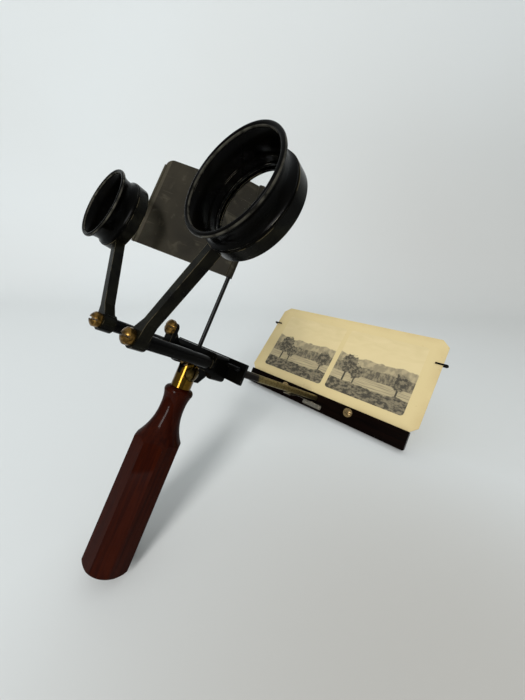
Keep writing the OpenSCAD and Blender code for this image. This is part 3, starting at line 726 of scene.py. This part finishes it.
@dataclass(frozen=True)
class LakePrint:
    """A sepia view of a lake under hills, drawn by noise, for one half of the picture pair."""

    name: str
    place: Matrix
    width: float
    height: float
    low: float
    parallax: float
    sky: Colour = (0.55, 0.445, 0.232, 1)
    haze: Colour = (0.60, 0.49, 0.265, 1)
    mist: Colour = (0.36, 0.295, 0.172, 1)
    far: Colour = (0.22, 0.183, 0.11, 1)
    near: Colour = (0.072, 0.060, 0.040, 1)
    turf: Colour = (0.17, 0.142, 0.088, 1)
    bank: Colour = (0.022, 0.019, 0.014, 1)
    water: Colour = (0.40, 0.33, 0.19, 1)
    grain: Noise = Noise(3.0, 6)
    grain_share: Span = (-0.12, 0.20)
    cloud: Noise = Noise(1.0, 6, 0.8, (0.05, 0.05, 0.16))
    cloudy: Span = (0.3, 0.7)
    sky_up: Span = (0.45, 1.0)
    hill_noise: Noise = Noise(1.0, 8, stretch=(0.22, 0.22, 0.16))
    wood_noise: Noise = Noise(1.0, 8, stretch=(0.5, 0.5, 0.3))
    grass_noise: Noise = Noise(1.0, 8, stretch=(0.3, 0.5, 0.45))
    leaf_noise: Noise = Noise(1.0, 8, stretch=(0.45, 0.45, 0.45))
    mottled: Span = (0.40, 0.64)
    hill_line: Ridge = Ridge(0.50, 0.17, 2.4, 3.7, 0.3)
    wood_line: Ridge = Ridge(0.40, 0.12, 5.0, 11.3, 0.6)
    bank_line: Ridge = Ridge(0.10, 0.16, 3.2, 31.9, 1.0)
    line_blur: Span = (0.006, -0.006)
    ripple: Noise = Noise(1.0, 5, stretch=(0.06, 1.0, 1.6))
    rippled: Span = (0.40, 0.66)
    shore_bumps: float = 4.0
    shore_seed: float = 21.0
    shore_rise: float = 0.03
    shore_up: Span = (0.335, 0.325)
    trees: tuple[Tree, ...] = (
        Tree(-0.31, 0.46, 0.11), Tree(-0.17, 0.36, 0.08), Tree(0.36, 0.40, 0.09),
    )
    head_tall: float = 1.35
    head_edge: Span = (1.06, 0.9)
    ragged: Noise = Noise(0.35, 6)
    ragged_share: float = 0.96
    stem: Span = (0.13, 0.09)
    stem_blur: float = 0.02
    rough: Span = (0.42, 0.6)
    gloss: float = 0.35
    relief: Span = (0.08, 0.02)

    def make(self) -> bpy.types.Material:
        """Builds the material."""
        g = Graph(self.name)
        point = g.coords(self.place)
        across = g.math("DIVIDE", g.part(point, Axis.X), self.width)
        up = g.math("DIVIDE", g.math("SUBTRACT", g.part(point, Axis.Z), self.low), self.height)
        grain = g.noise(point, self.grain)
        clear = g.math("MULTIPLY", g.ramp(up, self.sky_up), g.ramp(g.noise(point, self.cloud), self.cloudy))
        tone = g.colour(clear, self.haze, self.sky)
        hills = self.mottle(g, point, self.hill_noise, self.far, self.mist)
        tone = self.ridge(g, tone, across, up, self.hill_line, hills)
        woods = self.mottle(g, point, self.wood_noise, self.near, self.far)
        tone = self.ridge(g, tone, across, up, self.wood_line, woods)
        tone = self.lake(g, tone, point, across, up)
        tone = self.grove(g, tone, point, across, up)
        grass = self.mottle(g, point, self.grass_noise, self.bank, self.turf)
        tone = self.ridge(g, tone, across, up, self.bank_line, grass)
        g.set(
            Base_Color=g.colour(g.span(grain, self.grain_share), tone, self.haze),
            Roughness=g.span(grain, self.rough),
            Specular_IOR_Level=self.gloss,
            Normal=g.bump(grain, self.relief),
        )
        return g.material

    def mottle(self, g: Graph, point: Socket, noise: Noise, dark: Colour, light: Colour) -> Socket:
        """A tone broken into fine lights and darks, as leaves and grass are.

        Args:
            g: The material's nodes.
            point: The surface's point.
            noise: How the tone breaks up.
            dark: The colour of the shadows.
            light: The colour of the lights.

        Returns:
            A colour output.
        """
        return g.colour(g.ramp(g.noise(point, noise), self.mottled), dark, light)

    def ridge(
        self, g: Graph, tone: Socket, across: Socket, up: Socket, ridge: Ridge, colour: Socket
    ) -> Socket:
        """Paints one ridge over what lies behind it.

        Args:
            g: The material's nodes.
            tone: The picture so far.
            across: Place across the picture, in widths.
            up: Place up the picture, in heights.
            ridge: The ridge's line.
            colour: The ridge's colour.

        Returns:
            The picture with the ridge.
        """
        shifted = g.math("ADD", across, self.parallax * ridge.nearness)
        line = g.skyline(shifted, ridge.bumps, ridge.seed)
        crest = g.math("ADD", g.math("MULTIPLY", line, ridge.rise), ridge.base)
        return g.colour(g.ramp(g.math("SUBTRACT", up, crest), self.line_blur), tone, colour)

    def lake(self, g: Graph, tone: Socket, point: Socket, across: Socket, up: Socket) -> Socket:
        """Paints rippled water up to an uneven shore.

        Args:
            g: The material's nodes.
            tone: The picture so far.
            point: The surface's point.
            across: Place across the picture, in widths.
            up: Place up the picture, in heights.

        Returns:
            The picture with the lake.
        """
        ripple = g.ramp(g.noise(point, self.ripple), self.rippled)
        uneven = g.math("MULTIPLY", g.skyline(across, self.shore_bumps, self.shore_seed), self.shore_rise)
        water = g.colour(ripple, self.water, self.far)
        return g.colour(g.ramp(g.math("ADD", up, uneven), self.shore_up), tone, water)

    def grove(self, g: Graph, tone: Socket, point: Socket, across: Socket, up: Socket) -> Socket:
        """Paints a few round-headed trees, whose stems end behind the near bank.

        Args:
            g: The material's nodes.
            tone: The picture so far.
            point: The surface's point.
            across: Place across the picture, in widths.
            up: Place up the picture, in heights.

        Returns:
            The picture with the trees.
        """
        ragged = g.math("SUBTRACT", g.noise(point, self.ragged), 0.5)
        ragged = g.math("MULTIPLY", ragged, self.ragged_share)
        leaves = self.mottle(g, point, self.leaf_noise, self.bank, self.turf)
        for tree in self.trees:
            dx = g.math("DIVIDE", g.math("SUBTRACT", across, tree.x - self.parallax), tree.half_w)
            dy = g.math("DIVIDE", g.math("SUBTRACT", up, tree.middle), tree.half_w * self.head_tall)
            gap = g.math("SQRT", g.math("ADD", g.math("MULTIPLY", dx, dx), g.math("MULTIPLY", dy, dy)))
            head = g.ramp(g.math("ADD", gap, ragged), self.head_edge)
            below = g.ramp(up, (tree.middle, tree.middle - self.stem_blur))
            stem = g.math("MULTIPLY", g.ramp(g.math("ABSOLUTE", dx), self.stem), below)
            tone = g.colour(stem, tone, self.bank)
            tone = g.colour(head, tone, leaves)
        return tone


@dataclass(frozen=True)
class PaleCloth:
    """Pale backing paper with painted shade: a soft painted shadow on the floor in front to the right, and
    painted falloff, greyer low on the right of the wall.
    """

    name: str
    place: Matrix
    tone: Colour = (0.70, 0.725, 0.725, 1)
    warm: Colour = (0.66, 0.655, 0.635, 1)
    shade: Colour = (0.47, 0.455, 0.425, 1)
    weave: Noise = Noise(0.9, 3)
    drift: Noise = Noise(0.0011, 2)
    drifted: Span = (0.35, 0.65)
    warm_share: float = 0.25
    # The painted shadow's centre and reach, then where the painted falloff runs across and up the wall, and
    # its share.
    dim: Point = (75.0, -188.0, 0.0)
    painted_shadow_reach: Span = (262.0, 45.0)
    painted_falloff_x: Span = (-450.0, 650.0)
    painted_falloff_z: Span = (900.0, 150.0)
    painted_falloff_share: float = 0.5
    rough: Span = (0.75, 0.95)
    gloss: float = 0.2
    relief: Span = (0.1, 0.1)

    def make(self) -> bpy.types.Material:
        """Builds the material."""
        g = Graph(self.name)
        point = g.coords(self.place)
        weave = g.noise(point, self.weave)
        drift = g.ramp(g.noise(point, self.drift), self.drifted)
        tone = g.colour(g.math("MULTIPLY", drift, self.warm_share), self.tone, self.warm)
        # Painted shadow: a soft dark patch on the floor around a point in front to the right, where no lamp
        # casts one.
        near = g.ramp(g.distance(point, self.dim), self.painted_shadow_reach)
        # Painted falloff: the cloth turns towards the shade colour low on the right of the wall and on the
        # floor there.
        right = g.ramp(g.part(point, Axis.X), self.painted_falloff_x)
        low = g.ramp(g.part(point, Axis.Z), self.painted_falloff_z)
        far = g.math("MULTIPLY", g.math("MULTIPLY", right, low), self.painted_falloff_share)
        g.set(
            Base_Color=g.colour(g.math("MAXIMUM", near, far), tone, self.shade),
            Roughness=g.span(weave, self.rough),
            Specular_IOR_Level=self.gloss,
            Normal=g.bump(weave, self.relief),
        )
        return g.material


def dress(node: str, material: bpy.types.Material) -> None:
    """Gives a CAD node its finish.

    Args:
        node: The node's name.
        material: The finish.
    """
    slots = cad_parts[node].data.materials
    slots.clear()
    slots.append(material)
    LOG.info("%s: %s", node, material.name)


@dataclass
class LensArm:
    """One swinging arm with its lens, ring and eye cup."""

    side: Side
    rim_r: float = 16.75
    rim: Colour = (0.13, 0.12, 0.095, 1)
    black: Colour = (0.0019, 0.0018, 0.0013, 1)
    brown: Colour = (0.007, 0.0066, 0.0038, 1)

    def dress(self) -> None:
        """Gives the arm's solids their finishes."""
        tag = self.side.label
        lens = BENCH.lens(self.side)
        arm = BlackLacquer(
            f"arm_lacquer_{tag}", BENCH.arm(self.side), wear=0.65, edge_reach=0.45,
            black=self.black, brown=self.brown,
        )
        cup = BlackLacquer(
            f"cup_lacquer_{tag}", lens, wear=0.3, edge_reach=0.22,
            bare=self.rim, gloss=0.03, rim_r=self.rim_r,
        )
        ring = BlackLacquer(f"ring_lacquer_{tag}", lens, wear=0.6, bare=self.rim)
        dress(f"lens_arm_{tag}", arm.make())
        dress(f"eye_cup_{tag}", cup.make())
        dress(f"lens_{tag}", LensGlass(f"lens_glass_{tag}", lens).make())
        dress(f"lens_ring_{tag}", ring.make())


@dataclass
class Crosshead:
    """The block, its plate, barrels, lug and screws."""

    lacquered: tuple[str, ...] = (
        "crosshead_block", "back_plate", "barrel_left", "barrel_right", "front_lug", "handle_bracket",
        "rail_pin",
    )
    brass: tuple[str, ...] = (
        "arm_screw_left", "arm_screw_right", "arm_washer_left", "arm_washer_right", "lug_screw",
        "plate_screw_left", "plate_screw_right",
    )

    def dress(self) -> None:
        """Gives the crosshead's solids their finishes."""
        lacquer = BlackLacquer("crosshead_lacquer", BENCH.place(), wear=0.4).make()
        brass = Brass("screw_brass", BENCH.place()).make()
        for node in self.lacquered:
            dress(node, lacquer)
        for node in self.brass:
            dress(node, brass)


@dataclass
class Septum:
    """The turning leaf and its post."""

    def dress(self) -> None:
        """Gives the septum's solids their finishes."""
        dress("septum_plate", SeptumPaint("septum_paint", BENCH.septum()).make())
        dress("septum_post", BlackLacquer("post_lacquer", BENCH.septum(), wear=0.3, gloss=0.15).make())


@dataclass
class Handle:
    """The folding handle: fork, screw and grip."""

    dark: Colour = (0.0135, 0.0014, 0.0002, 1)
    light: Colour = (0.0238, 0.0029, 0.00036, 1)

    def dress(self) -> None:
        """Gives the handle's solids their finishes."""
        place = BENCH.handle()
        grip = Wood(
            "mahogany_varnish", place, Axis.Z, self.dark, self.light, gloss=0.09, sheen=0.01, rub=0.3
        )
        dress("handle_grip", grip.make())
        bright = Brass(
            "ferrule_brass", place, bright=(0.112, 0.060, 0.0080, 1), brown=(0.030, 0.015, 0.002, 1),
            tarnish=(0.55, 0.8), roughness=(0.06, 0.12), grain=(0.4, 0.4, 5.0),
        )
        dress("handle_ferrule", bright.make())
        dull = Brass("pivot_brass", place, bright=(0.105, 0.072, 0.02, 1), brown=(0.03, 0.02, 0.006, 1))
        dress("pivot_screw", dull.make())


@dataclass
class Rail:
    """The long rail with its stop."""

    def dress(self) -> None:
        """Gives the rail's solids their finishes."""
        aged = Brass(
            "rail_brass", BENCH.place(), bright=(0.21, 0.165, 0.065, 1), brown=(0.065, 0.047, 0.016, 1),
            tarnish=(0.42, 0.7), roughness=(0.3, 0.46), grain=(2.0, 0.06, 2.0), black_until=(61.0, 64.0),
        )
        dress("rail", aged.make())
        dress("rail_stop_screw", Brass("stop_brass", BENCH.place()).make())


@dataclass
class Carrier:
    """The sliding card bar with its clips and leaf spring."""

    dark: Colour = (0.0012, 0.0005, 0.0003, 1)
    light: Colour = (0.0034, 0.0013, 0.0007, 1)

    def dress(self) -> None:
        """Gives the carrier's solids their finishes."""
        bench = BENCH.place()
        bar = Wood("bar_ebonised", bench, Axis.X, self.dark, self.light, gloss=0.0, sheen=0.02, rub=0.6)
        dress("card_bar", bar.make())
        brass = Brass("bar_brass", bench, bright=(0.27, 0.185, 0.085, 1), tarnish=(0.5, 0.75)).make()
        wire = BlackLacquer("clip_wire", BENCH.card(), wear=0.2, edge_reach=0.15).make()
        steel = Steel("spring_steel", bench).make()
        for side in Side:
            dress(f"bar_screw_{side.label}", brass)
            dress(f"wire_clip_{side.label}", wire)
            dress(f"spring_screw_{side.label}", steel)
        dress("friction_spring", steel)


@dataclass
class StereoCard:
    """The card and the two prints pasted on its face."""

    face_y: float = -0.6
    paper: float = 0.12
    print_w: float = 73.0
    print_h: float = 68.0
    print_low: float = 11.0
    gap: float = 5.0
    corner: float = 3.0
    corner_steps: int = 6
    edge: float = 0.4
    edge_steps: int = 2
    parallax: float = 0.012
    slot: str = "card"

    def dress(self) -> None:
        """Gives the board its finish."""
        dress("stereo_card", CardBoard("buff_board", BENCH.card()).make())

    def build(self) -> None:
        """Pastes a print on each half of the card."""
        for side in Side:
            middle = side.value * (self.print_w + self.gap) / 2
            place = BENCH.card() @ Matrix.Translation(Vector((middle, 0, 0)) * MM)
            finish = LakePrint(
                f"lake_print_{side.label}", place, self.print_w, self.print_h, self.print_low,
                side.value * self.parallax,
            )
            piece = self.paste(f"card_print_{side.label}", place, finish.make())
            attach(piece, "card")
            LOG.info("%s: pasted on the card", piece.name)

    def outline(self) -> list[Vector]:
        """The print's outline in the card's face, in millimetres, with round corners.

        Returns:
            The points, once round.
        """
        half = self.print_w / 2 - self.corner
        rise = self.print_h - 2 * self.corner
        points = []
        for turn, x, z in ((0, half, rise), (1, -half, rise), (2, -half, 0), (3, half, 0)):
            for step in range(self.corner_steps + 1):
                angle = math.radians(90 * (turn + step / self.corner_steps))
                corner = Vector((x, 0, self.print_low + self.corner + z))
                points.append(corner + self.corner * Vector((math.cos(angle), 0, math.sin(angle))))
        return points

    def paste(self, name: str, place: Matrix, material: bpy.types.Material) -> bpy.types.Object:
        """Makes one print as a thin sheet with a softened edge, lying on the card's face.

        Args:
            name: The piece's name.
            place: The print's frame in the row frame.
            material: Its finish.

        Returns:
            The piece.
        """
        mesh = bmesh.new()
        ring = [mesh.verts.new((p + Vector((0, self.face_y, 0))) * MM) for p in self.outline()]
        face = mesh.faces.new(ring)
        lifted = bmesh.ops.extrude_face_region(mesh, geom=[face])["geom"]
        for vert in (v for v in lifted if isinstance(v, bmesh.types.BMVert)):
            vert.co.y -= self.paper * MM
        top = [f for f in lifted if isinstance(f, bmesh.types.BMFace)]
        bmesh.ops.bevel(
            mesh, geom=[e for f in top for e in f.edges], offset=self.edge * self.paper * MM,
            segments=self.edge_steps, affect="EDGES",
        )
        bmesh.ops.recalc_face_normals(mesh, faces=mesh.faces)
        mesh.transform(place)
        data = bpy.data.meshes.new(name)
        mesh.to_mesh(data)
        mesh.free()
        data.materials.append(material)
        piece = bpy.data.objects.new(name, data)
        bpy.context.scene.collection.objects.link(piece)
        return piece


@dataclass
class Studio:
    """The pale sweep, the window's light and the camera, in metres."""

    heading: float = math.radians(40.7)
    sweep_back: float = 0.95
    sweep_half: float = 3.0
    sweep_front: float = 3.0
    sweep_rise: float = 1.2
    sweep_bend: float = 0.5
    bend_steps: int = 16
    sky: Colour = (0.93, 0.98, 1.0, 1)
    ceiling: Span = (0.0, 0.65)
    glow: Span = (0.27, 0.66)
    window: Point = (1.02, -2.40, 1.60)
    window_aim: Point = (0.0, 0.1, 0.1)
    window_size: Span = (0.75, 1.75)
    window_power: float = 76.0
    sensor_mm: float = 36.0
    lens_mm: float = 13.698663
    clip_start: float = 0.005
    eye: Point = (0.10778095, -0.14054597, 0.15038392)
    right: Point = (0.7492367, 0.6615527, 0.0315023)
    down: Point = (0.2646431, -0.255439, -0.9299005)
    ahead: Point = (-0.6071312, 0.7050525, -0.3664596)

    def build(self) -> None:
        """Builds the floor, light and camera."""
        self.sweep()
        self.room()
        self.lamp()
        self.camera()

    def sweep(self) -> None:
        """Makes the floor and backdrop as one bent sheet, square to the camera's heading."""
        flat_end = self.sweep_back - self.sweep_bend
        profile = [(-self.sweep_front, 0.0)]
        for step in range(self.bend_steps + 1):
            angle = math.radians(90 * step / self.bend_steps)
            back = flat_end + self.sweep_bend * math.sin(angle)
            profile.append((back, self.sweep_bend * (1 - math.cos(angle))))
        profile.append((self.sweep_back, self.sweep_rise))
        mesh = bmesh.new()
        sides = (-self.sweep_half, self.sweep_half)
        rows = [[mesh.verts.new((x, y, z)) for x in sides] for y, z in profile]
        for low, high in zip(rows, rows[1:]):
            mesh.faces.new((low[0], low[1], high[1], high[0])).smooth = True
        turn = Matrix.Rotation(self.heading, 4, "Z")
        mesh.transform(turn)
        data = bpy.data.meshes.new("sweep")
        mesh.to_mesh(data)
        mesh.free()
        data.materials.append(PaleCloth("sweep_cloth", turn).make())
        piece = bpy.data.objects.new("sweep", data)
        bpy.context.scene.collection.objects.link(piece)

    def room(self) -> None:
        """Sets a dim room under a pale ceiling."""
        world = bpy.data.worlds.new("studio")
        bpy.context.scene.world = world
        world.use_nodes = True
        tree = world.node_tree
        split = tree.nodes.new("ShaderNodeSeparateXYZ")
        tree.links.new(tree.nodes.new("ShaderNodeTexCoord").outputs["Generated"], split.inputs[0])
        rise = tree.nodes.new("ShaderNodeMapRange")
        rise.interpolation_type = "SMOOTHSTEP"
        tree.links.new(split.outputs["Z"], rise.inputs["Value"])
        limits = ("From Min", "From Max", "To Min", "To Max")
        for name, value in zip(limits, (*self.ceiling, *self.glow)):
            rise.inputs[name].default_value = value
        backing = tree.nodes["Background"]
        backing.inputs["Color"].default_value = self.sky
        tree.links.new(rise.outputs["Result"], backing.inputs["Strength"])

    def lamp(self) -> None:
        """Hangs one tall soft lamp behind the camera, as a window."""
        data = bpy.data.lights.new("window", "AREA")
        data.shape = "RECTANGLE"
        data.size, data.size_y = self.window_size
        data.energy = self.window_power
        piece = bpy.data.objects.new("window", data)
        piece.location = self.window
        toward = Vector(self.window_aim) - Vector(self.window)
        piece.rotation_euler = toward.to_track_quat("-Z", "Y").to_euler()
        bpy.context.scene.collection.objects.link(piece)

    def camera(self) -> None:
        """Places the camera where the photograph was taken from."""
        data = bpy.data.cameras.new("camera")
        data.sensor_width = self.sensor_mm
        data.lens = self.lens_mm
        data.clip_start = self.clip_start
        piece = bpy.data.objects.new("camera", data)
        right, down, ahead = Vector(self.right), Vector(self.down), Vector(self.ahead)
        turn = Matrix((right, -down, -ahead)).transposed().to_4x4()
        piece.matrix_world = Matrix.Translation(Vector(self.eye)) @ turn
        bpy.context.scene.collection.objects.link(piece)
        bpy.context.scene.camera = piece


def main() -> None:
    """Dresses every sub-assembly and builds the studio."""
    logging.basicConfig(level=logging.INFO, format="%(message)s")
    bpy.context.scene.view_settings.view_transform = "Standard"
    for side in Side:
        LensArm(side).dress()
    for assembly in (Crosshead(), Septum(), Handle(), Rail(), Carrier()):
        assembly.dress()
    card = StereoCard()
    card.dress()
    card.build()
    Studio().build()


if __name__ == "__main__":
    main()
